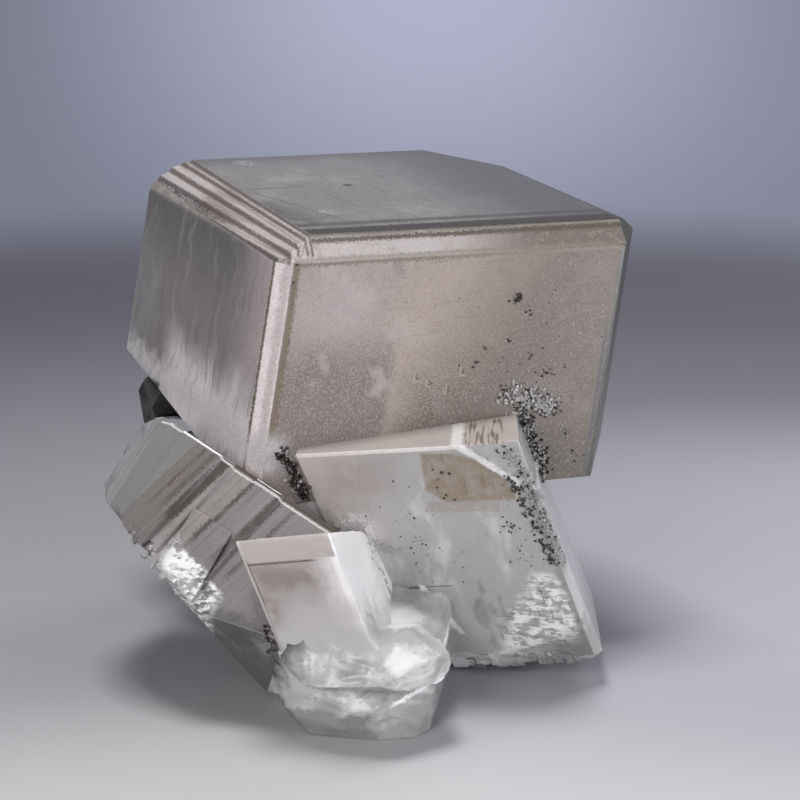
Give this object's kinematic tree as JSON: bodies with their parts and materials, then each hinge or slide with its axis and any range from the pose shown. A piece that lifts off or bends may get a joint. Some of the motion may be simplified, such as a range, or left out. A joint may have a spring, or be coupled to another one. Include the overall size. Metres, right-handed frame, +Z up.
{
  "type": "calcite with pyrite mineral specimen",
  "caption": "Cleavage-shaped calcite block with terraced edges on smaller intergrown calcite crystals, dusted and crusted with dark pyrite grains, cut flat below.",
  "frame": {"origin": "on the flat cut face that the specimen rests on, under the middle of the group", "axes": "+Z up, the best side with the block's front face looks towards -Y, +X to that side's right"},
  "size_m": [0.0849, 0.101, 0.0728],
  "materials": {
    "calcite": "translucent grey to brownish calcite, satin faces, clear and milky below",
    "pyrite": "dark metallic fine grains"
  },
  "bodies": {
    "root": {"calcite": "calcite", "pyrite_seam": "pyrite", "pyrite_patch": "pyrite", "pyrite_rim": "pyrite"}
  },
  "joints": []
}
